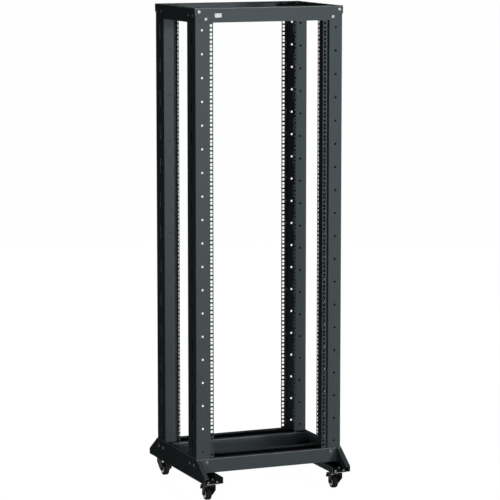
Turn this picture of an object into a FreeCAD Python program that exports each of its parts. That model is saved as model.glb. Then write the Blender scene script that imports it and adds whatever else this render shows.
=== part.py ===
# Four post open frame rack, 37 units high, on a low wheeled base
#
# The origin is on the floor below the middle of the frame. +Z is up, -Y is the front,
# and +X is to the right of a person who faces the front. All sizes are in millimetres.
import FreeCAD, Part
import math
import os
import re
import Sketcher
from FreeCAD import Placement, Rotation, Vector

doc = FreeCAD.newDocument("OpenFrameRack")

# Driving sizes, each with the cell's note
SIZES = [
    ("unit_count", 37, "rack units between the rails' ends"),
    ("unit_pitch", 44.45, "height of one rack unit"),
    ("hole_rise", 6.35, "lowest square's centre above the foot of its unit"),
    ("hole_pitch", 15.875, "between the three squares of one unit"),
    ("square_side", 9.5, "square cage nut hole"),
    ("column_inset", 8.05, "column of squares, from the free edge of its rail or lip"),
    ("bay_width", 449, "clear width between the rails"),
    ("rail_width", 21, "face of a rail, from the bay to the step"),
    ("rail_setback", 10, "rail face behind the post's face"),
    ("steel", 2, "sheet thickness of frame and base"),
    ("bend_radius", 0.5, "inside radius of each fold"),
    ("frame_width", 600, "over the posts' side webs"),
    ("frame_depth", 420, "over the posts' front and rear faces"),
    ("post_depth", 86, "side web of a post, front to back"),
    ("lip_depth", 21, "inner lip of a post, from its inner face"),
    ("face_hole", 8.5, "round holes in the faces of a post"),
    ("slot_width", 12, "upright slots in the side web"),
    ("slot_height", 60, "end to end"),
    ("slot_pitch", 130.2, "between the slots of a web"),
    ("slot_count", 13, "slots in a web"),
    ("slot_start", 38, "lowest slot's centre above the bay's floor"),
    ("side_hole", 5.5, "small round holes before and behind each slot"),
    ("side_hole_reach", 28.5, "from the slot's centre to such a hole"),
    ("caster_height", 75, "floor to the underside of the base"),
    ("base_height", 82, "side wall of the base"),
    ("base_end_height", 22, "upright end of that wall, below its slope"),
    ("base_length", 598, "side wall of the base, front to back"),
    ("base_flange", 16, "folded edge of that wall"),
    ("tread_width", 74, "bottom of a base side, inside its outer wall"),
    ("sill_height", 24, "low inner wall of a base side"),
    ("trough_height", 55, "cross troughs between the base sides"),
    ("return_depth", 6, "small folded edges of troughs and beams"),
    ("trough_lip", 21, "wide folded edges of a trough"),
    ("base_fold", 1.5, "outside radius of the folds of base and troughs"),
    ("bay_clearance", 3.35, "base wall's top to the lowest unit"),
    ("beam_gap", 5, "highest unit to the underside of the top beams"),
    ("beam_height", 55, "top beams"),
    ("beam_flange", 20, "top edge of a beam, folded inwards"),
    ("beam_fold", 3.5, "outside radius of that fold"),
    ("ear_cut", 27, "sloped lower corners of the top beams"),
    ("seam", 1, "clear space between parts that only lie side by side"),
    ("caster_inset_x", 36.7, "swivel axis from the posts' side webs"),
    ("caster_inset_y", 37, "swivel axis from the end of the base"),
    ("plate_width", 50, "caster plate across the rack"),
    ("plate_length", 62, "caster plate, front to back"),
    ("plate_steel", 3, "caster plate thickness"),
    ("bolt_spacing_x", 35.4, "caster plate holes"),
    ("bolt_spacing_y", 44, "caster plate holes"),
    ("bolt_hole", 6.6, "caster plate holes"),
    ("race_diameter", 36, "swivel bearing ring"),
    ("race_height", 4.5, "swivel bearing ring below the plate"),
    ("pin_diameter", 9, "king pin of the swivel"),
    ("pin_head_height", 3, "king pin's riveted head"),
    ("swivel_gap", 0.4, "running clearance of the swivel"),
    ("crown_diameter", 39, "top of the fork"),
    ("crown_height", 6, "top of the fork"),
    ("trail", 34, "wheel axle behind the swivel axis"),
    ("wheel_diameter", 50, "over the tyre"),
    ("tyre_width", 20, "tread of the wheel"),
    ("tyre_depth", 7, "tyre outside the hub"),
    ("tread_bevel", 2.5, "bevelled shoulders of the tyre"),
    ("hub_recess", 2, "hub's dished sides"),
    ("boss_diameter", 15, "hub's boss round the axle"),
    ("axle_diameter", 8, "axle bolt"),
    ("running_fit", 0.05, "radial clearance of the axle and of the pedal's pin"),
    ("axle_head", 10, "across the flats of the bolt's head and nut"),
    ("axle_head_height", 3, "bolt's head and nut"),
    ("fork_gap", 28, "clear width between the legs of the fork"),
    ("fork_steel", 2.5, "legs of the fork"),
    ("leg_width", 25, "lower end of a leg, centred on the axle"),
    ("leg_foot", 6.5, "lower end of a leg, below the axle"),
    ("leg_corner", 4, "rounded corners of a leg"),
    ("cheek_foot", 46, "front corner of the wider leg, above the floor"),
    ("slim_lean", 5, "front edge of the narrower leg, forward at its top"),
    ("pedal_pivot_back", 32, "pedal's pivot behind the swivel axis"),
    ("pedal_pivot_height", 59.5, "pedal's pivot above the floor"),
    ("pedal_bend_back", 74, "bend of the pedal behind the swivel axis"),
    ("pedal_bend_height", 51.5, "bend of the pedal above the floor"),
    ("pedal_reach", 80, "pedal's tip behind the swivel axis"),
    ("pedal_tip_height", 34, "pedal's tip above the floor"),
    ("pedal_width", 22, "pedal across the wheel"),
    ("pedal_steel", 3, "pedal thickness"),
    ("pedal_eye", 7, "round end of the pedal on its pin"),
    ("pedal_hole", 5, "holes in the legs of the fork for the pedal's pin"),
]

sheet = doc.addObject("Spreadsheet::Sheet", "Sizes")
for row, (alias, value, note) in enumerate(SIZES, start=1):
    sheet.set(f"A{row}", alias)
    sheet.set(f"B{row}", str(value))
    sheet.set(f"C{row}", note)
    sheet.setAlias(f"B{row}", alias)
doc.recompute()
ALIASES = {alias for alias, value, note in SIZES}

# Places that follow from the driving sizes
HALF_WIDTH = "(frame_width / 2)"
HALF_DEPTH = "(frame_depth / 2)"
SIDE_FACE = f"({HALF_WIDTH} + steel)"
FRONT_FACE = f"({HALF_DEPTH} + steel)"
STEP = "(bay_width / 2 + rail_width)"
INNER_FACE = f"({HALF_DEPTH} - post_depth)"
RAIL_FACE = f"({HALF_DEPTH} - rail_setback)"
SILL_TOP = "(caster_height + sill_height)"
TROUGH_TOP = f"({SILL_TOP} + trough_height)"
BASE_TOP = "(caster_height + base_height)"
BAY_FLOOR = f"({BASE_TOP} + bay_clearance)"
BAY_TOP = f"({BAY_FLOOR} + unit_count * unit_pitch)"
BEAM_FOOT = f"({BAY_TOP} + beam_gap)"
FRAME_TOP = f"({BEAM_FOOT} + beam_height)"
POST_FOOT = f"({SILL_TOP} + steel)"
POST_TOP = f"({FRAME_TOP} - steel)"
CROWN_TOP = "(caster_height - plate_steel - race_height - swivel_gap)"
CROWN_FOOT = f"({CROWN_TOP} - crown_height)"


def value_of(text):
    """A length or a count worked out from the sheet's words."""
    return float(sheet.evalExpression(text))


def linked(text):
    """The same text as an expression that another object can hold."""
    return re.sub(r"[a-z_]{3,}", lambda m: "Sizes." + m[0] if m[0] in ALIASES else m[0], text)


def origin_plane(body, role):
    return next(f for f in body.Origin.OriginFeatures if f.Role == role)


def new_body(label, placement=None):
    body = doc.addObject("PartDesign::Body", label)
    body.Label = label
    if placement is not None:
        body.Placement = placement
    return body


def new_sketch(body, name, role, lift="0 * steel"):
    """A sketch on one of the body's own origin planes, moved along the plane's normal."""
    sketch = body.newObject("Sketcher::SketchObject", name)
    sketch.AttachmentSupport = (origin_plane(body, role), [""])
    sketch.MapMode = "FlatFace"
    sketch.setExpression(".AttachmentOffset.Base.z", linked(lift))
    return sketch


def pin_down(sketch, kind, element, point, text):
    """Set one signed coordinate of a point of the sketch."""
    index = sketch.addConstraint(Sketcher.Constraint(kind, element, point, value_of(text)))
    sketch.setExpression(f"Constraints[{index}]", linked(text))


def add_outline(sketch, points):
    """A closed line through points, each given as two texts."""
    corners = [Vector(value_of(x), value_of(y), 0) for x, y in points]
    first = sketch.GeometryCount
    count = len(corners)
    for i, corner in enumerate(corners):
        sketch.addGeometry(Part.LineSegment(corner, corners[(i + 1) % count]), False)
    for i in range(count):
        following = first + (i + 1) % count
        sketch.addConstraint(Sketcher.Constraint("Coincident", first + i, 2, following, 1))
    for i, (x, y) in enumerate(points):
        pin_down(sketch, "DistanceX", first + i, 1, x)
        pin_down(sketch, "DistanceY", first + i, 1, y)


def add_box(sketch, low_x, low_y, high_x, high_y):
    add_outline(sketch, [(low_x, low_y), (high_x, low_y), (high_x, high_y), (low_x, high_y)])


def add_circle(sketch, x, y, diameter):
    centre = Vector(value_of(x), value_of(y), 0)
    radius = value_of(f"{diameter} / 2")
    ring = sketch.addGeometry(Part.Circle(centre, Vector(0, 0, 1), radius), False)
    pin_down(sketch, "DistanceX", ring, 3, x)
    pin_down(sketch, "DistanceY", ring, 3, y)
    index = sketch.addConstraint(Sketcher.Constraint("Radius", ring, radius))
    sketch.setExpression(f"Constraints[{index}]", linked(f"{diameter} / 2"))


def add_slot(sketch, x, y, width, height):
    """An upright slot with round ends, about its centre."""
    radius = value_of(f"{width} / 2")
    rise = f"(({height} - {width}) / 2)"
    top = Vector(value_of(x), value_of(f"{y} + {rise}"), 0)
    foot = Vector(value_of(x), value_of(f"{y} - {rise}"), 0)
    side = Vector(radius, 0, 0)
    normal = Vector(0, 0, 1)
    upper = sketch.addGeometry(Part.ArcOfCircle(Part.Circle(top, normal, radius), 0, math.pi), False)
    lower = sketch.addGeometry(
        Part.ArcOfCircle(Part.Circle(foot, normal, radius), math.pi, 2 * math.pi), False)
    left = sketch.addGeometry(Part.LineSegment(top - side, foot - side), False)
    right = sketch.addGeometry(Part.LineSegment(foot + side, top + side), False)
    for first, first_point, second, second_point in (
            (upper, 2, left, 1), (left, 2, lower, 1), (lower, 2, right, 1), (right, 2, upper, 1)):
        sketch.addConstraint(
            Sketcher.Constraint("Coincident", first, first_point, second, second_point))
    for line, point, across, up in ((left, 1, "-", "+"), (left, 2, "-", "-"),
                                    (right, 1, "+", "-"), (right, 2, "+", "+")):
        pin_down(sketch, "DistanceX", line, point, f"{x} {across} {width} / 2")
        pin_down(sketch, "DistanceY", line, point, f"{y} {up} {rise}")
    pin_down(sketch, "DistanceY", upper, 3, f"{y} + {rise}")
    pin_down(sketch, "DistanceY", lower, 3, f"{y} - {rise}")


def pad(body, sketch, length, both_ways=False):
    feature = body.newObject("PartDesign::Pad", sketch.Name + "Pad")
    feature.Profile = sketch
    feature.Midplane = both_ways
    feature.setExpression("Length", linked(length))
    doc.recompute()
    return feature


def cut_through(body, sketch):
    """Cut the sketch through the whole body, both ways, and see that it took metal away."""
    before = body.Shape.Volume
    feature = body.newObject("PartDesign::Pocket", sketch.Name + "Cut")
    feature.Profile = sketch
    feature.SideType = "Two sides"
    feature.Type = "ThroughAll"
    feature.Type2 = "ThroughAll"
    doc.recompute()
    if not body.Shape.Volume < before - 1e-3:
        raise RuntimeError(f"{sketch.Name} cuts nothing from {body.Label}")
    return feature


def turn(body, sketch, axis_role):
    feature = body.newObject("PartDesign::Revolution", sketch.Name + "Turn")
    feature.Profile = sketch
    feature.ReferenceAxis = (origin_plane(body, axis_role), [""])
    feature.Angle = 360
    doc.recompute()
    return feature


def repeat_up(body, feature, spacing, count):
    """Copies of a feature along +Z."""
    pattern = body.newObject("PartDesign::LinearPattern", feature.Name + "Row")
    pattern.Originals = [feature]
    pattern.Direction = (origin_plane(body, "Z_Axis"), [""])
    pattern.setExpression("Length", linked(f"{spacing} * ({count} - 1)"))
    pattern.setExpression("Occurrences", linked(count))
    body.Tip = pattern
    doc.recompute()
    return pattern


def round_folds(body, along, folds, radius):
    """Round the edges that run along one axis through the named corners of the section."""
    across = [axis for axis in "xyz" if axis != along]
    wanted = [(value_of(first), value_of(second)) for first, second in folds]
    names = []
    for number, edge in enumerate(body.Tip.Shape.Edges, start=1):
        ends = [vertex.Point for vertex in edge.Vertexes]
        if len(ends) != 2 or abs(getattr(ends[0], along) - getattr(ends[1], along)) < 1:
            continue
        for first, second in wanted:
            if all(abs(getattr(p, across[0]) - first) < 0.01
                   and abs(getattr(p, across[1]) - second) < 0.01 for p in ends):
                names.append(f"Edge{number}")
    base = body.Tip
    feature = body.newObject("PartDesign::Fillet", body.Name + "Folds")
    feature.Base = (base, names)
    feature.setExpression("Radius", linked(radius))
    doc.recompute()
    if feature.Shape.isNull() or not names:
        raise RuntimeError(f"no fold of {body.Label} is rounded")
    return feature


# Posts and rails
def punch_squares(body, role, centre):
    """A column of cage nut squares, three in every rack unit."""
    squares = new_sketch(body, "Squares" + body.Label, role)
    for step in range(3):
        height = f"{BAY_FLOOR} + hole_rise + {step} * hole_pitch"
        add_box(squares, f"{centre} - square_side / 2", f"{height} - square_side / 2",
                f"{centre} + square_side / 2", f"{height} + square_side / 2")
    repeat_up(body, cut_through(body, squares), "unit_pitch", "unit_count")


def make_post(label, side, placement):
    """One post of the front pair: a sheet folded round the corner of the frame.

    The section runs from the step beside the rail over the face with the round holes,
    back along the side web, in along the inner face and round into the inner lip.
    """
    body = new_body(label, placement)
    section = new_sketch(body, "Section" + label, "XY_Plane", POST_FOOT)
    step_in = f"({STEP} + steel)"
    web_in = f"({HALF_WIDTH} - steel)"
    points = [
        (STEP, f"-({RAIL_FACE} - steel)"),
        (STEP, f"-{HALF_DEPTH}"),
        (HALF_WIDTH, f"-{HALF_DEPTH}"),
        (HALF_WIDTH, f"-{INNER_FACE}"),
        (step_in, f"-{INNER_FACE}"),
        (step_in, f"-({INNER_FACE} - lip_depth)"),
        (STEP, f"-({INNER_FACE} - lip_depth)"),
        (STEP, f"-({INNER_FACE} + steel)"),
        (web_in, f"-({INNER_FACE} + steel)"),
        (web_in, f"-({HALF_DEPTH} - steel)"),
        (step_in, f"-({HALF_DEPTH} - steel)"),
        (step_in, f"-({RAIL_FACE} - steel)"),
    ]
    add_outline(section, [(f"{side} * {x}", y) for x, y in points])
    pad(body, section, f"{POST_TOP} - {POST_FOOT}")
    outer = [points[1], points[2], points[3], points[7]]
    inner = [points[4], points[8], points[9], points[10]]
    round_folds(body, "z", [(f"{side} * {x}", y) for x, y in outer], "bend_radius + steel")
    round_folds(body, "z", [(f"{side} * {x}", y) for x, y in inner], "bend_radius")

    hole = new_sketch(body, "FaceHole" + label, "XZ_Plane")
    hole_x = f"{side} * ({STEP} + {HALF_WIDTH}) / 2"
    add_circle(hole, hole_x, f"{BAY_FLOOR} + hole_rise + hole_pitch", "face_hole")
    repeat_up(body, cut_through(body, hole), "2 * unit_pitch", "(floor(unit_count / 2) + 1)")

    slot = new_sketch(body, "WebSlot" + label, "YZ_Plane")
    middle = f"-({HALF_DEPTH} - post_depth / 2)"
    add_slot(slot, middle, f"{BAY_FLOOR} + slot_start", "slot_width", "slot_height")
    for sign in "+-":
        add_circle(slot, f"{middle} {sign} side_hole_reach", f"{BAY_FLOOR} + slot_start", "side_hole")
    repeat_up(body, cut_through(body, slot), "slot_pitch", "slot_count")
    punch_squares(body, "YZ_Plane", f"-({INNER_FACE} - lip_depth + column_inset)")
    return body


def make_rail(label, side, placement):
    """The punched mounting face beside a post, three squares in every unit."""
    body = new_body(label, placement)
    strip = new_sketch(body, "Strip" + label, "XY_Plane", POST_FOOT)
    add_box(strip, f"{side} * bay_width / 2", f"-{RAIL_FACE}",
            f"{side} * {STEP}", f"-({RAIL_FACE} - steel)")
    pad(body, strip, f"{POST_TOP} - {POST_FOOT}")
    punch_squares(body, "XZ_Plane", f"{side} * (bay_width / 2 + column_inset)")
    return body


# Top frame
def make_front_beam(label, placement):
    """Front or rear top beam: a web before the posts, with its top edge folded back."""
    body = new_body(label, placement)
    section = new_sketch(body, "Section" + label, "YZ_Plane")
    add_outline(section, [
        (f"-{FRONT_FACE}", BEAM_FOOT),
        (f"-{HALF_DEPTH}", BEAM_FOOT),
        (f"-{HALF_DEPTH}", POST_TOP),
        (f"-({HALF_DEPTH} - beam_flange)", POST_TOP),
        (f"-({HALF_DEPTH} - beam_flange)", FRAME_TOP),
        (f"-{FRONT_FACE}", FRAME_TOP),
    ])
    pad(body, section, f"2 * {SIDE_FACE}", both_ways=True)
    lip = new_sketch(body, "Lip" + label, "YZ_Plane")
    add_box(lip, f"-{FRONT_FACE}", BEAM_FOOT,
            f"-({HALF_DEPTH} - return_depth)", f"{BEAM_FOOT} + steel")
    pad(body, lip, f"2 * ({STEP} - seam)", both_ways=True)
    round_folds(body, "x", [(f"-{FRONT_FACE}", FRAME_TOP)], "beam_fold")
    ears = new_sketch(body, "Ears" + label, "XZ_Plane")
    for side in (-1, 1):
        add_outline(ears, [
            (f"{side} * ({SIDE_FACE} - ear_cut)", BEAM_FOOT),
            (f"{side} * {SIDE_FACE}", BEAM_FOOT),
            (f"{side} * {SIDE_FACE}", f"{BEAM_FOOT} + ear_cut"),
        ])
    cut_through(body, ears)
    return body


def make_side_beam(label, placement):
    """Right or left top beam: a web beside the posts, between the front and rear beams."""
    body = new_body(label, placement)
    web = new_sketch(body, "Web" + label, "YZ_Plane", HALF_WIDTH)
    add_outline(web, [
        (f"-({HALF_DEPTH} - ear_cut)", BEAM_FOOT),
        (f"{HALF_DEPTH} - ear_cut", BEAM_FOOT),
        (HALF_DEPTH, f"{BEAM_FOOT} + ear_cut"),
        (HALF_DEPTH, POST_TOP),
        (f"{HALF_DEPTH} - beam_flange", POST_TOP),
        (f"{HALF_DEPTH} - beam_flange", FRAME_TOP),
        (f"-({HALF_DEPTH} - beam_flange)", FRAME_TOP),
        (f"-({HALF_DEPTH} - beam_flange)", POST_TOP),
        (f"-{HALF_DEPTH}", POST_TOP),
        (f"-{HALF_DEPTH}", f"{BEAM_FOOT} + ear_cut"),
    ])
    pad(body, web, "steel")
    flange = new_sketch(body, "Flange" + label, "XZ_Plane")
    add_box(flange, f"{HALF_WIDTH} - beam_flange", POST_TOP, SIDE_FACE, FRAME_TOP)
    pad(body, flange, f"2 * ({HALF_DEPTH} - beam_flange)", both_ways=True)
    lip = new_sketch(body, "Lip" + label, "XZ_Plane")
    add_box(lip, f"{HALF_WIDTH} - return_depth", BEAM_FOOT, SIDE_FACE, f"{BEAM_FOOT} + steel")
    pad(body, lip, f"2 * ({INNER_FACE} - lip_depth - seam)", both_ways=True)
    round_folds(body, "y", [(SIDE_FACE, FRAME_TOP)], "beam_fold")
    return body


# Base
def make_base_side(label, placement):
    """One side of the base: outer wall with sloped ends, wheel tread and low inner wall."""
    body = new_body(label, placement)
    half_length = "(base_length / 2)"
    end_top = "(caster_height + base_end_height)"
    slope = f"((base_height - base_end_height) / ({half_length} - {HALF_DEPTH}))"
    wall = new_sketch(body, "Wall" + label, "YZ_Plane", HALF_WIDTH)
    add_outline(wall, [
        (f"-{half_length}", "caster_height"),
        (half_length, "caster_height"),
        (half_length, end_top),
        (HALF_DEPTH, BASE_TOP),
        (f"-{HALF_DEPTH}", BASE_TOP),
        (f"-{half_length}", end_top),
    ])
    pad(body, wall, "steel")

    edge = new_sketch(body, "Edge" + label, "YZ_Plane", f"{HALF_WIDTH} - base_flange")
    slope_steel = f"(steel * sqrt(1 + {slope} * {slope}))"
    slope_top = f"({end_top} + ({half_length} - {FRONT_FACE} - seam) * {slope})"
    for side in (-1, 1):
        add_outline(edge, [
            (f"{side} * {half_length}", end_top),
            (f"{side} * ({FRONT_FACE} + seam)", slope_top),
            (f"{side} * ({FRONT_FACE} + seam)", f"{slope_top} - {slope_steel}"),
            (f"{side} * {half_length}", f"{end_top} - {slope_steel}"),
        ])
    between = f"({INNER_FACE} - lip_depth - seam)"
    add_box(edge, f"-{between}", f"{BASE_TOP} - steel", between, BASE_TOP)
    pad(body, edge, "base_flange + steel")

    tread = new_sketch(body, "Tread" + label, "XY_Plane", "caster_height")
    add_box(tread, f"{HALF_WIDTH} - tread_width", f"-{half_length}", SIDE_FACE, half_length)
    pad(body, tread, "steel")
    sill = new_sketch(body, "Sill" + label, "XY_Plane", "caster_height")
    add_box(sill, f"{HALF_WIDTH} - tread_width", f"-{half_length}",
            f"{HALF_WIDTH} - tread_width + steel", half_length)
    pad(body, sill, "sill_height")
    round_folds(body, "y", [(SIDE_FACE, BASE_TOP)], "base_fold")

    bolts = new_sketch(body, "Bolts" + label, "XY_Plane")
    for end in (-1, 1):
        for row in (-1, 1):
            for column in (-1, 1):
                add_circle(bolts,
                           f"{HALF_WIDTH} - caster_inset_x + {column} * bolt_spacing_x / 2",
                           f"{end} * ({half_length} - caster_inset_y) + {row} * bolt_spacing_y / 2",
                           "bolt_hole")
    cut_through(body, bolts)
    return body


def make_trough(label, placement):
    """Front or rear cross member of the base: a trough that holds the feet of two posts."""
    body = new_body(label, placement)
    inside = f"({INNER_FACE} - lip_depth)"
    back = f"({inside} - steel)"
    section = new_sketch(body, "Section" + label, "YZ_Plane")
    add_outline(section, [
        (f"-{FRONT_FACE}", SILL_TOP),
        (f"-{back}", SILL_TOP),
        (f"-{back}", TROUGH_TOP),
        (f"-{inside}", TROUGH_TOP),
        (f"-{inside}", POST_FOOT),
        (f"-{HALF_DEPTH}", POST_FOOT),
        (f"-{HALF_DEPTH}", TROUGH_TOP),
        (f"-{FRONT_FACE}", TROUGH_TOP),
    ])
    pad(body, section, f"2 * {HALF_WIDTH}", both_ways=True)
    returns = new_sketch(body, "Returns" + label, "YZ_Plane")
    add_box(returns, f"-{FRONT_FACE}", f"{TROUGH_TOP} - steel",
            f"-({HALF_DEPTH} - return_depth)", TROUGH_TOP)
    add_box(returns, f"-({back} + trough_lip)", f"{TROUGH_TOP} - steel", f"-{back}", TROUGH_TOP)
    pad(body, returns, f"2 * ({STEP} - seam)", both_ways=True)
    lip = new_sketch(body, "Lip" + label, "YZ_Plane")
    add_box(lip, f"-{FRONT_FACE}", f"{TROUGH_TOP} - steel",
            f"-({FRONT_FACE} - trough_lip)", TROUGH_TOP)
    pad(body, lip, "(bay_width - 2 * seam)", both_ways=True)
    corners = [(y, z) for y in (f"-{FRONT_FACE}", f"-{back}") for z in (SILL_TOP, TROUGH_TOP)]
    round_folds(body, "x", corners, "base_fold")
    return body


# Casters, each built about its own swivel axis with the wheel behind the axis
def make_caster_plate(label, placement):
    """Bolted top plate with the bearing ring and the king pin."""
    body = new_body(label, placement)
    plate_foot = "(caster_height - plate_steel)"
    plate = new_sketch(body, "Plate" + label, "XY_Plane", plate_foot)
    add_box(plate, "-plate_width / 2", "-plate_length / 2", "plate_width / 2", "plate_length / 2")
    pad(body, plate, "plate_steel")
    bolts = new_sketch(body, "Bolts" + label, "XY_Plane")
    for row in (-1, 1):
        for column in (-1, 1):
            add_circle(bolts, f"{column} * bolt_spacing_x / 2", f"{row} * bolt_spacing_y / 2",
                       "bolt_hole")
    cut_through(body, bolts)
    race = new_sketch(body, "Race" + label, "XZ_Plane")
    race_foot = f"({plate_foot} - race_height)"
    head_top = f"({CROWN_FOOT} - swivel_gap)"
    head_foot = f"({head_top} - pin_head_height)"
    add_outline(race, [
        ("0 * steel", head_foot),
        ("0.7 * pin_diameter", head_foot),
        ("0.7 * pin_diameter", head_top),
        ("pin_diameter / 2", head_top),
        ("pin_diameter / 2", race_foot),
        ("race_diameter / 2 - race_height / 2", race_foot),
        ("race_diameter / 2", f"{race_foot} + race_height / 2"),
        ("race_diameter / 2", plate_foot),
        ("0 * steel", plate_foot),
    ])
    turn(body, race, "Z_Axis")
    return body


def make_fork(label, placement):
    """Round crown under the bearing, with two legs that carry the axle."""
    body = new_body(label, placement)
    crown = new_sketch(body, "Crown" + label, "XY_Plane", CROWN_FOOT)
    add_circle(crown, "0 * steel", "0 * steel", "crown_diameter")
    pad(body, crown, "crown_height")
    axle_height = "(wheel_diameter / 2)"
    foot = f"({axle_height} - leg_foot)"
    front = "(trail - leg_width / 2)"
    back = "(trail + leg_width / 2)"
    root = "(crown_diameter / 3)"
    rear_edge = [
        (front, foot),
        (back, foot),
        (back, f"{axle_height} + leg_width / 2"),
        ("pedal_pivot_back + 1.5 * pedal_hole", "pedal_pivot_height + pedal_hole"),
        ("crown_diameter / 2", CROWN_TOP),
        (f"-{root}", CROWN_TOP),
    ]
    slim_front = [(f"-{root}", CROWN_FOOT), (f"{front} - slim_lean", CROWN_FOOT)]
    wide_front = [(f"-{root}", "cheek_foot")]
    for name, start, front_edge in (
            ("SlimLeg", "-(fork_gap / 2 + fork_steel)", slim_front),
            ("WideLeg", "fork_gap / 2", wide_front)):
        leg = new_sketch(body, name + label, "YZ_Plane", start)
        add_outline(leg, rear_edge + front_edge)
        pad(body, leg, "fork_steel")
    round_folds(body, "x", rear_edge[:2] + wide_front, "leg_corner")
    bore = new_sketch(body, "Bore" + label, "YZ_Plane")
    add_circle(bore, "trail", axle_height, "axle_diameter")
    add_circle(bore, "pedal_pivot_back", "pedal_pivot_height", "pedal_hole")
    cut_through(body, bore)
    king_pin = new_sketch(body, "KingPin" + label, "XY_Plane")
    add_circle(king_pin, "0 * steel", "0 * steel", "(pin_diameter + 2 * swivel_gap)")
    cut_through(body, king_pin)
    return body


def make_axle(label, placement):
    """Axle bolt with a six sided head and nut, outside the legs of the fork."""
    axle_height = "wheel_diameter / 2"
    outside = "(fork_gap / 2 + fork_steel)"
    body = new_body(label, placement)
    shank = new_sketch(body, "Shank" + label, "YZ_Plane")
    add_circle(shank, "trail", axle_height, "axle_diameter")
    pad(body, shank, f"2 * {outside}", both_ways=True)
    for side, start in ((-1, f"-{outside} - axle_head_height"), (1, outside)):
        name = ("Head" if side < 0 else "Nut") + label
        head = new_sketch(body, name, "YZ_Plane", start)
        corners = []
        for corner in range(6):
            angle = math.radians(60 * corner + 30)
            across = "axle_head / sqrt(3)"
            corners.append((f"trail + {math.cos(angle):.6f} * {across}",
                            f"{axle_height} + {math.sin(angle):.6f} * {across}"))
        add_outline(head, corners)
        pad(body, head, "axle_head_height")
    return body


def make_tyre(label, placement):
    body = new_body(label, placement)
    ring = new_sketch(body, "Ring" + label, "YZ_Plane", "-tyre_width / 2")
    add_circle(ring, "trail", "wheel_diameter / 2", "wheel_diameter")
    add_circle(ring, "trail", "wheel_diameter / 2", "(wheel_diameter - 2 * tyre_depth)")
    pad(body, ring, "tyre_width")
    radius = value_of("wheel_diameter / 2")
    rims = [f"Edge{n}" for n, edge in enumerate(body.Tip.Shape.Edges, start=1)
            if isinstance(edge.Curve, Part.Circle) and abs(edge.Curve.Radius - radius) < 0.01]
    base = body.Tip
    shoulder = body.newObject("PartDesign::Chamfer", "Shoulder" + label)
    shoulder.Base = (base, rims)
    shoulder.setExpression("Size", linked("tread_bevel"))
    doc.recompute()
    return body


def make_hub(label, placement):
    """Wheel centre: dished web inside the tyre and a boss that reaches to the fork's legs."""
    body = new_body(label, placement)
    axle_height = "wheel_diameter / 2"
    bore = "(axle_diameter + 2 * running_fit)"
    disc = new_sketch(body, "Disc" + label, "YZ_Plane", "-(tyre_width / 2 - hub_recess)")
    add_circle(disc, "trail", axle_height, "(wheel_diameter - 2 * tyre_depth)")
    add_circle(disc, "trail", axle_height, bore)
    pad(body, disc, "tyre_width - 2 * hub_recess")
    boss = new_sketch(body, "Boss" + label, "YZ_Plane", "-(fork_gap / 2 - swivel_gap)")
    add_circle(boss, "trail", axle_height, "boss_diameter")
    add_circle(boss, "trail", axle_height, bore)
    pad(body, boss, "fork_gap - 2 * swivel_gap")
    return body


def make_pedal(label, placement):
    """Brake pedal over the wheel: a bent plate whose pin turns in the legs of the fork."""
    body = new_body(label, placement)
    plate = new_sketch(body, "Plate" + label, "YZ_Plane", "-pedal_width / 2")
    half = "pedal_steel / 2"
    add_outline(plate, [
        ("pedal_pivot_back", f"pedal_pivot_height - {half}"),
        (f"pedal_bend_back - {half}", f"pedal_bend_height - {half}"),
        (f"pedal_reach - {half}", "pedal_tip_height"),
        (f"pedal_reach + {half}", "pedal_tip_height"),
        (f"pedal_bend_back + {half}", f"pedal_bend_height + {half}"),
        ("pedal_pivot_back", f"pedal_pivot_height + {half}"),
    ])
    pad(body, plate, "pedal_width")
    for name, diameter, length in (
            ("Eye", "pedal_eye", "pedal_width"),
            ("Pin", "(pedal_hole - 2 * running_fit)", "(fork_gap + 2 * fork_steel)")):
        circle = new_sketch(body, name + label, "YZ_Plane")
        add_circle(circle, "pedal_pivot_back", "pedal_pivot_height", diameter)
        pad(body, circle, length, both_ways=True)
    return body


def half_turn(x=0, y=0):
    return Placement(Vector(x, y, 0), Rotation(Vector(0, 0, 1), 180))


# The front pair of posts as drawn, and the rear pair as the front pair turned half round
AS_DRAWN = Placement()
make_post("post_front_right", 1, AS_DRAWN)
make_post("post_front_left", -1, AS_DRAWN)
make_post("post_rear_left", 1, half_turn())
make_post("post_rear_right", -1, half_turn())
make_rail("rail_front_right", 1, AS_DRAWN)
make_rail("rail_front_left", -1, AS_DRAWN)
make_rail("rail_rear_left", 1, half_turn())
make_rail("rail_rear_right", -1, half_turn())
make_front_beam("top_beam_front", AS_DRAWN)
make_front_beam("top_beam_rear", half_turn())
make_side_beam("top_beam_right", AS_DRAWN)
make_side_beam("top_beam_left", half_turn())
make_base_side("base_side_right", AS_DRAWN)
make_base_side("base_side_left", half_turn())
make_trough("base_trough_front", AS_DRAWN)
make_trough("base_trough_rear", half_turn())

swivel_x = value_of(f"{HALF_WIDTH} - caster_inset_x")
swivel_y = value_of("base_length / 2 - caster_inset_y")
CORNERS = {
    "front_left": Placement(Vector(-swivel_x, -swivel_y, 0), Rotation()),
    "front_right": Placement(Vector(swivel_x, -swivel_y, 0), Rotation()),
    "rear_left": half_turn(-swivel_x, swivel_y),
    "rear_right": half_turn(swivel_x, swivel_y),
}
for corner, place in CORNERS.items():
    make_caster_plate("caster_plate_" + corner, place)
    make_fork("caster_fork_" + corner, place)
    make_axle("caster_axle_" + corner, place)
    make_tyre("caster_tyre_" + corner, place)
    make_hub("caster_hub_" + corner, place)
    make_pedal("brake_pedal_" + corner, place)

doc.recompute()

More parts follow.
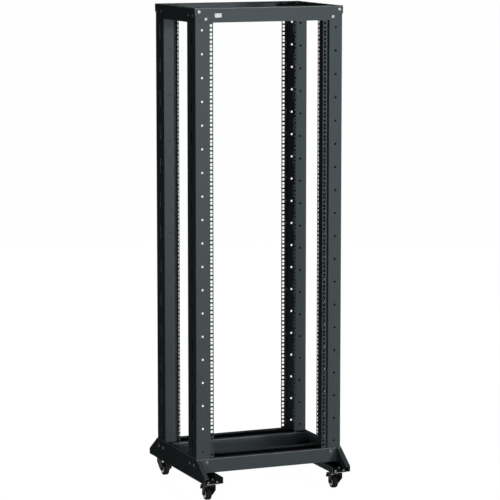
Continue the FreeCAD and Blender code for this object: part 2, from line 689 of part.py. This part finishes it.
# Every object and every solid is sound before anything is written
parts = [o for o in doc.Objects if o.TypeId == "PartDesign::Body"]
for thing in doc.Objects:
    if "Invalid" in thing.State or "Error" in thing.State:
        raise RuntimeError(f"{thing.Label} is not sound: {thing.State}")
for part in parts:
    if part.Shape.isNull() or not part.Shape.isValid() or len(part.Shape.Solids) != 1:
        raise RuntimeError(f"{part.Label} is not one sound solid")

os.makedirs("parts", exist_ok=True)
for part in parts:
    part.Shape.exportStep(f"parts/{part.Label}.step")
whole = Part.makeCompound([part.Shape for part in parts]).BoundBox
print(len(parts), "parts, from", [round(v, 2) for v in (whole.XMin, whole.YMin, whole.ZMin)],
      "to", [round(v, 2) for v in (whole.XMax, whole.YMax, whole.ZMax)])
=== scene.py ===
# %% [markdown]
# # A four post open frame rack on a wheeled base
#
# The rack is folded sheet steel with a dark grey powder coat. The solids come in from the
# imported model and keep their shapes. This notebook gives them their finishes, adds the
# bolts, screws and nuts that hold the sheets together, and lights the whole as in a studio.

import math

import bmesh
import bpy
from mathutils import Matrix, Vector


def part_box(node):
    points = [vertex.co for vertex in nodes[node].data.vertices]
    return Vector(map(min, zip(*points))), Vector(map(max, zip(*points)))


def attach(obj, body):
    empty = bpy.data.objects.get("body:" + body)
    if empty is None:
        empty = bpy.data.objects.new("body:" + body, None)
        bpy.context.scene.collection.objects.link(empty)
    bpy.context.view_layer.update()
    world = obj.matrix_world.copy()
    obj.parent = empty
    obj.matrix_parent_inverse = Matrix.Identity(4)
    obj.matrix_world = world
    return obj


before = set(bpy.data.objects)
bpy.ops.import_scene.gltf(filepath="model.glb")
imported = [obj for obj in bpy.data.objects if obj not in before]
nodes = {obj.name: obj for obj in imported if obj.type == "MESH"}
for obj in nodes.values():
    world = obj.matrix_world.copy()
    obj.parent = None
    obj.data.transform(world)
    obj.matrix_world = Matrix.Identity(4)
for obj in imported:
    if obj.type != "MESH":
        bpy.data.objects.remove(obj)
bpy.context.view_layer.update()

# %% [markdown]
# ## Sizes that the pieces share
#
# Everything is in metres, in the frame of the solids: +Z up, the front towards -Y. The sizes
# are read from the solids' own boxes, so a bolt always sits on the sheet that it holds. The
# rack is the same on both sides of its middle, so a face is named by how far it lies from it.

# %% Sizes
FRONT = -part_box("top_beam_front")[0].y
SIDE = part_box("top_beam_right")[1].x
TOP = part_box("top_beam_front")[1].z
TROUGH_BACK = -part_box("base_trough_front")[1].y
TROUGH_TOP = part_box("base_trough_front")[1].z
BASE_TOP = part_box("base_side_right")[1].z
PLATE_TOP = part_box("caster_plate_front_right")[1].z
SHEET = 0.002
TREAD_TOP = PLATE_TOP + SHEET
BOTH = (-1, 1)
CORNERS = ("front_left", "front_right", "rear_left", "rear_right")
print("front face at", round(FRONT, 4), "side face at", round(SIDE, 4), "top at", round(TOP, 4))

# %% [markdown]
# ## Shader maths in plain Python
#
# A material is a tree of nodes joined by links. Written by hand that is long and hard to read,
# so this small class wraps one socket and lets Python's own signs build the Math nodes.
# `wire.node(...)` makes any other kind of node in the same tree.

# %% The wrapper for sockets
class Wire:
    def __init__(self, tree, socket=None):
        self.tree = tree
        self.socket = socket

    def node(self, kind, settings=None, sockets=None, output=0):
        """Any node: its type, its settings, and the values or links of its sockets."""
        made = self.tree.nodes.new(kind)
        for name, value in (settings or {}).items():
            setattr(made, name, value)
        for name, value in (sockets or {}).items():
            if isinstance(value, Wire):
                self.tree.links.new(value.socket, made.inputs[name])
            else:
                made.inputs[name].default_value = value
        return Wire(self.tree, made.outputs[output] if len(made.outputs) else None)

    def maths(self, operation, *values):
        return self.node("ShaderNodeMath", {"operation": operation}, dict(enumerate(values)))

    def outlets(self, *names):
        """The other outputs of the node that this socket belongs to."""
        return [Wire(self.tree, self.socket.node.outputs[name]) for name in names]

    def __add__(self, other): return self.maths("ADD", self, other)
    def __radd__(self, other): return self.maths("ADD", other, self)
    def __sub__(self, other): return self.maths("SUBTRACT", self, other)
    def __rsub__(self, other): return self.maths("SUBTRACT", other, self)
    def __mul__(self, other): return self.maths("MULTIPLY", self, other)
    def __rmul__(self, other): return self.maths("MULTIPLY", other, self)
    def __gt__(self, other): return self.maths("GREATER_THAN", self, other)
    def __lt__(self, other): return self.maths("LESS_THAN", self, other)
    def __abs__(self): return self.maths("ABSOLUTE", self)


def new_tree(owner):
    """An empty node tree of a material or a world, ready to be wired."""
    owner.use_nodes = True
    owner.node_tree.nodes.clear()
    return Wire(owner.node_tree)


# %% [markdown]
# ## Patterns on Object coordinates
#
# Every pattern reads Object coordinates, so it stays on the piece and keeps its real scale:
# a noise of scale 800 has grains of a little over a millimetre. The first three helpers make
# nodes at once. The last three return a recipe, which waits until a material gives it a wire.

# %% Helpers for patterns
def object_place(wire):
    return wire.node("ShaderNodeTexCoord", output=3)


def noise(wire, scale, detail=2.0, roughness=0.5):
    return wire.node("ShaderNodeTexNoise", {}, {
        "Vector": object_place(wire), "Scale": scale, "Detail": detail, "Roughness": roughness})


def blend_colors(wire, amount, first, second):
    return wire.node("ShaderNodeMix", {"data_type": "RGBA"},
                     {0: amount, 6: first, 7: second}, output=2)


def mottle(scale, detail, first, second):
    """A colour that wanders between two tones."""
    return lambda wire: blend_colors(wire, noise(wire, scale, detail), first, second)


def uneven(least, spread, scale):
    """A roughness that changes a little from place to place."""
    return lambda wire: least + noise(wire, scale) * spread


def grain(scale, strength, distance=0.0002, detail=2.0, roughness=0.5):
    """Fine bumps, as a recipe for the Normal socket."""
    return lambda wire: wire.node("ShaderNodeBump", {}, {
        "Height": noise(wire, scale, detail, roughness),
        "Strength": strength, "Distance": distance})


# %% [markdown]
# ## One material from a list of sockets
#
# The Principled shader covers paint, metal, rubber and plastic alike. A plain number is set on
# the socket itself, and a recipe is called with the material's own wire.

# %% The material helper
def finish(name, sockets):
    material = bpy.data.materials.new(name)
    wire = new_tree(material)
    values = {key: value(wire) if callable(value) else value for key, value in sockets.items()}
    shader = wire.node("ShaderNodeBsdfPrincipled", {}, values)
    wire.node("ShaderNodeOutputMaterial", {}, {"Surface": shader})
    print("finish", name)
    return material


# %% [markdown]
# ## Painted highlights on the folds
#
# Powder coat is sprayed dry and baked. It flows into a skin with a fine orange peel, evenly
# dark grey. The rounded folds catch a thin line of light, and that line is painted into the
# colour as a paler tone. The folds follow the sheets' edges, so their mask is made of the
# distances from the frame's faces. On the top frame a slow noise lets the painted highlight rise
# and fall along the edge.

# %% The mask of the folds
FOLD = 0.0034
SLACK = 0.0002
WAVE = 0.004
# How strong the painted highlight on the folds gets at most.
HIGHLIGHT_AT_MOST = 0.78


def fold_highlight_mask(wire):
    """More than 0 along the folds of the top beams, the troughs and the base's sides, where a
    highlight is painted.
    """
    split = wire.node("ShaderNodeSeparateXYZ", {}, {0: object_place(wire)})
    across, along, up = split.outlets(0, 1, 2)
    across, along = abs(across), abs(along)
    corner = ((across > SIDE - FOLD) + (along > FRONT - FOLD)) > 0.5
    wave = noise(wire, 14, 1) * WAVE
    top = (up + wave > TOP + WAVE / 2 - FOLD) * corner
    outer = along > FRONT - FOLD
    inner = (along > TROUGH_BACK - SLACK) * (along < TROUGH_BACK + FOLD)
    trough = (up > TROUGH_TOP - FOLD) * (up < TROUGH_TOP + SLACK) * (outer + inner)
    side = (up > BASE_TOP - FOLD) * (up < BASE_TOP + SLACK) * (across > SIDE - FOLD)
    return ((top + trough + side) > 0.5) * HIGHLIGHT_AT_MOST


# %% [markdown]
# ## Powder coat
#
# Two close greys wander over the sheets, as the thickness of the skin does. A paler tone,
# painted in as the highlight of the rounded folds, comes through the mask, broken up by a finer
# noise so that no fold line is even. The specular level is close to nothing, because a strong
# one mirrors the white studio in every side that is seen at a low angle, and those sides are
# nearly black on the real rack.

# %% The coat of the frame
COAT = (0.071, 0.085, 0.090, 1)
COAT_SHADE = (0.065, 0.078, 0.083, 1)
# A paler grey, painted on the folds as the highlight they catch.
FOLD_HIGHLIGHT = (0.33, 0.325, 0.32, 1)


def coat_and_fold_highlights(wire):
    cloudy = blend_colors(wire, noise(wire, 9, 3), COAT, COAT_SHADE)
    # The painted fold highlight, broken up by a finer noise.
    highlight_amount = fold_highlight_mask(wire) * (noise(wire, 60, 4) * 1.2 - 0.05)
    return blend_colors(wire, highlight_amount, cloudy, FOLD_HIGHLIGHT)


# The coat's colour carries the painted highlights of the folds.
powder_coat_and_highlights = finish("powder_coat_and_highlights", {
    "Base Color": coat_and_fold_highlights,
    "Roughness": uneven(0.46, 0.14, 240),
    "Specular IOR Level": 0.001,
    "Normal": grain(850, 0.12, 0.0003, detail=3, roughness=0.6),
})

# %% [markdown]
# ## Metals
#
# The bolts of the top frame are bright zinc, and those of the base are duller. Some screws
# are blackened. The cap of a wheel is a warm, smoother metal. A fine grain in the Normal
# socket keeps each from looking like glass.

# %% Zinc, black screws and caps
zinc = finish("bright_zinc", {
    "Base Color": mottle(300, 4, (0.39, 0.38, 0.37, 1), (0.28, 0.27, 0.26, 1)),
    "Metallic": 0.5,
    "Roughness": uneven(0.48, 0.18, 500),
    "Normal": grain(1200, 0.08),
})
dull_zinc = finish("dull_zinc", {
    "Base Color": mottle(300, 4, (0.170, 0.162, 0.150, 1), (0.115, 0.109, 0.100, 1)),
    "Metallic": 0.5,
    "Roughness": uneven(0.42, 0.2, 500),
    "Normal": grain(1200, 0.1),
})
black_screw = finish("black_screw", {
    "Base Color": mottle(400, 3, (0.022, 0.020, 0.018, 1), (0.012, 0.011, 0.010, 1)),
    "Metallic": 0.3,
    "Roughness": uneven(0.5, 0.2, 500),
    "Normal": grain(1200, 0.1),
})
cap_metal = finish("cap_metal", {
    "Base Color": mottle(200, 3, (0.52, 0.45, 0.37, 1), (0.40, 0.34, 0.26, 1)),
    "Metallic": 0.8,
    "Roughness": uneven(0.26, 0.12, 400),
    "Normal": grain(900, 0.08),
})

# %% [markdown]
# ## The casters' plates
#
# The plate of a caster and its bearing ring are one solid with two finishes. The height in
# Object coordinates tells them apart: zinc for the plate, dark greased steel for the ring
# below it.

# %% Zinc above, grease below
PLATE_FOOT = PLATE_TOP - 0.0024
GREASE = (0.016, 0.014, 0.012, 1)


def plate_color(wire):
    split = wire.node("ShaderNodeSeparateXYZ", {}, {0: object_place(wire)})
    up, = split.outlets(2)
    sheet = mottle(300, 4, (0.50, 0.49, 0.47, 1), (0.36, 0.35, 0.33, 1))(wire)
    return blend_colors(wire, up > PLATE_FOOT, GREASE, sheet)


plate_zinc = finish("plate_zinc", {
    "Base Color": plate_color,
    "Metallic": 0.45,
    "Roughness": uneven(0.36, 0.18, 500),
    "Normal": grain(1200, 0.08),
})

# %% [markdown]
# ## Black paint, rubber and plastic
#
# The forks, axles and pedals are satin black, the tyres matt rubber, and the hub inside a
# tyre is brown. The small plate on the front beam is a smooth cream.

# %% Paint, rubber and plastic
satin_black = finish("satin_black", {
    "Base Color": mottle(80, 3, (0.016, 0.016, 0.016, 1), (0.010, 0.010, 0.010, 1)),
    "Roughness": uneven(0.42, 0.15, 260),
    "Specular IOR Level": 0.05,
    "Normal": grain(900, 0.12, 0.0003, detail=3),
})
rubber = finish("tyre_rubber", {
    "Base Color": mottle(150, 4, (0.013, 0.013, 0.013, 1), (0.020, 0.020, 0.019, 1)),
    "Roughness": uneven(0.72, 0.16, 300),
    "Specular IOR Level": 0.05,
    "Normal": grain(1400, 0.25, 0.0003, detail=4),
})
hub_plastic = finish("hub_plastic", {
    "Base Color": mottle(120, 3, (0.24, 0.17, 0.08, 1), (0.17, 0.12, 0.05, 1)),
    "Roughness": uneven(0.42, 0.16, 300),
    "Specular IOR Level": 0.4,
    "Normal": grain(1000, 0.15, 0.0003, detail=3),
})
cream = finish("cream_plate", {
    "Base Color": mottle(200, 3, (0.50, 0.485, 0.455, 1), (0.38, 0.365, 0.34, 1)),
    "Roughness": uneven(0.38, 0.12, 400),
    "Normal": grain(900, 0.06),
})

# %% [markdown]
# ## Dress the solids
#
# The solids keep their meshes. Only their material slots change. Whatever isn't a piece of a
# caster is sheet steel with the powder coat.

# %% Put the finishes on the nodes
FINISH_OF = {"caster_plate": plate_zinc, "caster_fork": satin_black, "caster_axle": satin_black,
             "caster_tyre": rubber, "caster_hub": hub_plastic, "brake_pedal": satin_black}
for name, node in nodes.items():
    kind = next((start for start in FINISH_OF if name.startswith(start)), None)
    node.data.materials.clear()
    node.data.materials.append(FINISH_OF[kind] if kind else powder_coat_and_highlights)
print("dressed", len(nodes), "nodes")

# %% [markdown]
# ## Turned shapes
#
# Bolts, washers and caps are turned shapes. One circle is extruded again and again, and each
# new ring gets its radius and height from a short profile. That keeps the edges where a
# lathe or a press would put them.

# %% Helpers for turned shapes
def ring_of(bm, radius, height, sides):
    """A closed ring of edges, the start of a turned shape."""
    made = bmesh.ops.create_circle(bm, cap_ends=False, radius=radius, segments=sides,
                                   matrix=Matrix.Translation((0, 0, height)))
    return [e for e in bm.edges if all(v in made["verts"] for v in e.verts)]


def carry_on(bm, edges, profile):
    """Extrude a ring through (radius, height) steps and return its last edges."""
    for radius, height in profile:
        made = bmesh.ops.extrude_edge_only(bm, edges=edges)["geom"]
        edges = [g for g in made if isinstance(g, bmesh.types.BMEdge)]
        for v in {v for e in edges for v in e.verts}:
            v.co.z = 0
            v.co = v.co.normalized() * radius
            v.co.z = height
    return edges


def close(bm, edges):
    bmesh.ops.edgeloop_fill(bm, edges=edges)


def turned(bm, sides, profile):
    """A closed shape with a flat foot and a flat top."""
    foot = ring_of(bm, *profile[0], sides)
    close(bm, carry_on(bm, foot, profile[1:]))
    close(bm, foot)


# %% [markdown]
# ## Set a drawing down at many places
#
# Each kind of bolt is drawn once, standing on the floor at the origin with its axis up. The
# same drawing is then set down at many places, all in one mesh, so that a row of bolts is one
# light piece whose own place stays at the origin.

# %% Helpers for placing
SHARP = math.radians(32)


def stand(point, outward, spin=0.0):
    """The matrix that stands a drawing on a point, with its axis along outward."""
    turn = Vector(outward).to_track_quat("Z", "Y").to_matrix().to_4x4()
    return Matrix.Translation(point) @ turn @ Matrix.Rotation(spin, 4, "Z")


def add_piece(name, bm, material, body):
    """An object from a bmesh, riding on a body."""
    mesh = bpy.data.meshes.new(name)
    bm.to_mesh(mesh)
    bm.free()
    mesh.materials.append(material)
    mesh.shade_smooth()
    mesh.set_sharp_from_angle(angle=SHARP)
    piece = bpy.data.objects.new(name, mesh)
    bpy.context.scene.collection.objects.link(piece)
    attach(piece, body)
    print(name, len(mesh.polygons), "faces")


def place_pieces(name, draw, matrices, material, body="frame"):
    """One piece with the drawing at every matrix."""
    one = bmesh.new()
    draw(one)
    bmesh.ops.recalc_face_normals(one, faces=one.faces)
    pattern = bpy.data.meshes.new(name + "_pattern")
    one.to_mesh(pattern)
    one.free()
    many = bmesh.new()
    for matrix in matrices:
        before = len(many.verts)
        many.from_mesh(pattern)
        many.verts.ensure_lookup_table()
        bmesh.ops.transform(many, matrix=matrix, verts=many.verts[before:])
    bpy.data.meshes.remove(pattern)
    add_piece(name, many, material, body)


# %% [markdown]
# ## A head with a cross recess
#
# The frame is held with low round heads. The recess starts as the middle five cells of a
# three by three grid. Its outline is bridged to the round rim, and the five cells are pushed
# down into the head.

# %% A low round head with a cross recess
def cross_head(radius, height, recess):
    def draw(bm):
        rim = ring_of(bm, radius * 0.62, height, 24)
        grid = bmesh.ops.create_grid(bm, x_segments=3, y_segments=3, size=recess,
                                     matrix=Matrix.Translation((0, 0, height)))["verts"]
        cells = {f for v in grid for f in v.link_faces}
        far = max(f.calc_center_median().xy.length for f in cells)
        spare = [f for f in cells if f.calc_center_median().xy.length > 0.99 * far]
        bmesh.ops.delete(bm, geom=spare, context="FACES")
        cross = list(bm.faces)
        outline = {e for f in cross for e in f.edges if e.is_boundary}
        bmesh.ops.bridge_loops(bm, edges=rim + list(outline))
        made = bmesh.ops.extrude_face_region(bm, geom=cross)["geom"]
        floor = [g for g in made if isinstance(g, bmesh.types.BMVert)]
        bmesh.ops.delete(bm, geom=cross, context="FACES")
        bmesh.ops.translate(bm, vec=(0, 0, -0.55 * height), verts=floor)
        close(bm, carry_on(bm, rim, [
            (radius * 0.84, height * 0.88), (radius * 0.96, height * 0.62),
            (radius, height * 0.3), (radius, -0.0004)]))
    return draw


BOLT = cross_head(0.0064, 0.0034, 0.0033)
FLAT_BOLT = cross_head(0.0066, 0.0026, 0.0042)
SCREW = cross_head(0.0052, 0.0016, 0.0026)
print("three sizes of head")

# %% [markdown]
# ## Bolts of the top frame
#
# Two bolts go through each ear of the front and rear beams, and two black screws through each
# end of the side beams. Every head gets its own spin, because a driver leaves each recess at
# another angle.

# %% Set the beams' bolts
EAR_BOLTS = ((0.2861, 1.8513), (0.2590, 1.8238))
SCREW_ROW = (0.1450, 0.1900)
SIDE_SCREW_Z = 1.8368

beam_bolts = [stand((side * x, end * FRONT, z), (0, end, 0), 50 * x)
              for end in BOTH for side in BOTH for x, z in EAR_BOLTS]
place_pieces("beam_bolts", BOLT, beam_bolts, zinc)
side_screws = [stand((side * SIDE, end * y, SIDE_SCREW_Z), (side, 0, 0), 90 * y)
               for side in BOTH for end in BOTH for y in SCREW_ROW]
place_pieces("side_beam_screws", SCREW, side_screws, black_screw)

# %% [markdown]
# ## Bolts of the base
#
# Each wall of a trough is held with one bolt at either end: a flat one outside, a black one
# inside. The outer walls of the base have two screws at each post.

# %% Set the base's bolts
TROUGH_BOLT_X, INNER_BOLT_X, TROUGH_BOLT_Z = 0.2582, 0.2520, 0.1412
BASE_SCREW_Z = 0.1284

trough_bolts = [stand((side * TROUGH_BOLT_X, end * FRONT, TROUGH_BOLT_Z), (0, end, 0), 0.6)
                for end in BOTH for side in BOTH]
place_pieces("trough_bolts", FLAT_BOLT, trough_bolts, dull_zinc)
inner_bolts = [stand((side * INNER_BOLT_X, end * TROUGH_BACK, TROUGH_BOLT_Z), (0, -end, 0), 0.3)
               for end in BOTH for side in BOTH]
place_pieces("inner_trough_bolts", BOLT, inner_bolts, black_screw)
base_screws = [stand((side * SIDE, end * y, BASE_SCREW_Z), (side, 0, 0), 80 * y)
               for side in BOTH for end in BOTH for y in SCREW_ROW]
place_pieces("base_wall_screws", SCREW, base_screws, dull_zinc)

# %% [markdown]
# ## The bare plate on the front beam
#
# A small pale plate is fixed to the front beam beside its left ear. It carries nothing. A
# cube gets the plate's size, then round corners, and last a fine bevel round its face.

# %% The plate
PLATE_X, PLATE_Z = -0.2092, 1.8367
PLATE_SIZE = (0.0285, 0.0165, 0.0010)
PLATE_CORNER, PLATE_EDGE = 0.0035, 0.0003


def draw_plate(bm):
    made = bmesh.ops.create_cube(bm, size=1)["verts"]
    bmesh.ops.scale(bm, vec=PLATE_SIZE, verts=made)
    upright = [e for e in bm.edges if abs(e.verts[0].co.z - e.verts[1].co.z) > 0.0005]
    bmesh.ops.bevel(bm, geom=upright, offset=PLATE_CORNER, segments=5, profile=0.5,
                    affect="EDGES", material=-1)
    face = [e for e in bm.edges if all(v.co.z > 0 for v in e.verts)]
    bmesh.ops.bevel(bm, geom=face, offset=PLATE_EDGE, segments=2, profile=0.5,
                    affect="EDGES", material=-1)


plate_place = Matrix.Translation((PLATE_X, -FRONT - 0.0004, PLATE_Z)) \
    @ Matrix.Rotation(math.radians(90), 4, "X")
place_pieces("front_plate", draw_plate, [plate_place], cream)

# %% [markdown]
# ## Nuts and washers above the treads
#
# Each caster is held by four bolts, whose nuts and washers show on top of the tread. A six
# sided nut is only a turned shape with six sides.

# %% Nuts and washers
NUT_X, NUT_Y = 0.0177, 0.0220


def draw_nut(bm):
    """A washer, a six sided nut and the rounded end of the bolt."""
    turned(bm, 24, [(0.0052, 0), (0.0052, 0.0008), (0.0024, 0.0008)])
    turned(bm, 6, [(0.0042, 0.0007), (0.0042, 0.0034), (0.0037, 0.0038)])
    turned(bm, 20, [(0.0023, 0.0036), (0.0023, 0.0052), (0.0018, 0.0057)])


for corner in CORNERS:
    low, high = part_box("caster_plate_" + corner)
    middle = (low + high) / 2
    spots = [(middle.x + i * NUT_X, middle.y + j * NUT_Y) for i in BOTH for j in BOTH]
    nuts = [stand((x, y, TREAD_TOP), (0, 0, 1), 30 * (x + y)) for x, y in spots]
    place_pieces("caster_nuts_" + corner, draw_nut, nuts, zinc)

# %% [markdown]
# ## Hub caps
#
# A pale dished ring closes each side of a wheel, between the tyre and the fork's legs. It is
# turned from one profile and rides on the wheel, so it spins with it.

# %% The caps
CAP_GAP = 0.0001


def draw_cap(bm):
    """A ring that stands on the wheel's side, with a rounded rim and a dished middle."""
    wall = ring_of(bm, 0.0152, 0, 40)
    inner = carry_on(bm, wall, [(0.0152, 0.0012), (0.0144, 0.0020), (0.0126, 0.0020),
                                (0.0116, 0.0012), (0.0080, 0.0008), (0.0080, 0)])
    bmesh.ops.bridge_loops(bm, edges=wall + inner)


for corner in CORNERS:
    low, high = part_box("caster_tyre_" + corner)
    middle = (low + high) / 2
    caps = [stand((x + turn * CAP_GAP, middle.y, middle.z), (turn, 0, 0))
            for x, turn in ((low.x, -1), (high.x, 1))]
    place_pieces("hub_caps_" + corner, draw_cap, caps, cap_metal,
                 "wheel_" + corner)

# %% [markdown]
# ## A white floor that doesn't light the steel
#
# The rack stands before pure white. A floor and a world as bright as that would also light
# the rack, so both look white only to the camera and to rays that metal or glass sends on,
# and stay dim for the rest. The floor keeps a diffuse part, which takes the rack's shadow.

# %% What the camera sees as white
WHITE = 0.99


def seen_white(wire):
    """1 for rays of the camera and for those that metal or glass sends on."""
    rays = wire.node("ShaderNodeLightPath")
    camera_ray, glossy_ray, clear_ray = rays.outlets(
        "Is Camera Ray", "Is Glossy Ray", "Is Transmission Ray")
    return (camera_ray + glossy_ray + clear_ray) > 0.5


# %% The floor
floor_bm = bmesh.new()
bmesh.ops.create_grid(floor_bm, x_segments=1, y_segments=1, size=60)
floor_mesh = bpy.data.meshes.new("studio_floor")
floor_bm.to_mesh(floor_mesh)
floor_bm.free()
floor = bpy.data.objects.new("studio_floor", floor_mesh)
bpy.context.scene.collection.objects.link(floor)

white_floor = bpy.data.materials.new("white_floor")
wire = new_tree(white_floor)
glow = wire.node("ShaderNodeEmission", {}, {"Color": (1, 1, 1, 1), "Strength": WHITE})
paper = wire.node("ShaderNodeBsdfDiffuse", {}, {"Color": (0.10, 0.10, 0.10, 1)})
white_paper = wire.node("ShaderNodeAddShader", {}, {0: glow, 1: paper})
grey_paper = wire.node("ShaderNodeBsdfDiffuse", {}, {"Color": (0.05, 0.05, 0.05, 1)})
seen = wire.node("ShaderNodeMixShader", {}, {0: seen_white(wire), 1: grey_paper, 2: white_paper})
wire.node("ShaderNodeOutputMaterial", {}, {"Surface": seen})
floor_mesh.materials.append(white_floor)
print("floor", white_floor.name)

# %% The world
world = bpy.data.worlds.new("studio")
bpy.context.scene.world = world
wire = new_tree(world)
dim = wire.node("ShaderNodeBackground", {}, {"Color": (0.84, 0.97, 1, 1), "Strength": 0.05})
white = wire.node("ShaderNodeBackground", {}, {"Color": (1, 1, 1, 1), "Strength": WHITE})
sky = wire.node("ShaderNodeMixShader", {}, {0: seen_white(wire), 1: dim, 2: white})
wire.node("ShaderNodeOutputWorld", {}, {"Surface": sky})
print("world", world.name)

# %% [markdown]
# ## Lamps
#
# The key light stands low in front, 24 degrees to the right, so the faces that look forward
# are grey and the left sides stay nearly black. A second spot in the same direction, but
# higher, lifts the top, and a third lifts the base. Spots with a blend of 1 fade from the
# middle of their cone to its rim, and this paints the slow change from the top of the rack to
# its base. A weak disc lights the left side and another the back. A small panel on the floor,
# below the base, stands in for the light that a white floor throws up into it. The power in
# watts was fitted to the grey of the faces in the photograph.

# %% The lamps
def add_lamp(name, kind, place, aim, power, **settings):
    lamp = bpy.data.lights.new(name, kind)
    lamp.energy = power
    for setting, value in settings.items():
        setattr(lamp, setting, value)
    holder = bpy.data.objects.new(name, lamp)
    bpy.context.scene.collection.objects.link(holder)
    holder.location = place
    holder.rotation_euler = (Vector(aim) - Vector(place)).to_track_quat("-Z", "Y").to_euler()
    print("lamp", name, power, "W")


add_lamp("front_light", "SPOT", (3.25, -7.31, 0.5), (-0.11, 0, 1.51), 1960,
         spot_size=math.radians(35.6), spot_blend=1.0, shadow_soft_size=0.7)
add_lamp("top_light", "SPOT", (3.25, -7.31, 2.6), (-1.4, 0, 2.81), 1500,
         spot_size=math.radians(37.3), spot_blend=1.0, shadow_soft_size=0.5)
add_lamp("fill_light", "SPOT", (0.45, -5.98, 0.35), (-1.0, 0, -3.0), 300,
         spot_size=math.radians(97.2), spot_blend=1.0, shadow_soft_size=0.3)
add_lamp("side_light", "AREA", (-2.05, -2.8, 0.35), (0, 0, 0.4), 12.8, shape="DISK", size=0.8)
add_lamp("floor_light", "AREA", (-0.07, -0.07, 0.004), (-0.07, -0.07, 1), 0.50,
         shape="RECTANGLE", size=0.36, size_y=0.30)
add_lamp("back_light", "AREA", (1.5, 4.5, 4.2), (0, 0, 1.2), 60, shape="DISK", size=2.0)

# %% [markdown]
# ## Camera
#
# The photograph was taken from ten metres away with a long lens, a little to the left and
# just above the top of the rack. The place, the turn and the lens were solved from the rails'
# squares, whose real spacing is known.

# %% The camera
camera_data = bpy.data.cameras.new("camera")
camera_data.lens = 186.0
camera_data.sensor_width = 36.0
camera = bpy.data.objects.new("camera", camera_data)
bpy.context.scene.collection.objects.link(camera)
camera.location = (-3.7857, -9.1659, 2.3237)
camera.rotation_euler = (math.radians(81.92), 0, math.radians(-22.48))
bpy.context.scene.camera = camera
bpy.context.scene.view_settings.view_transform = "Standard"
print("camera at", tuple(camera.location))
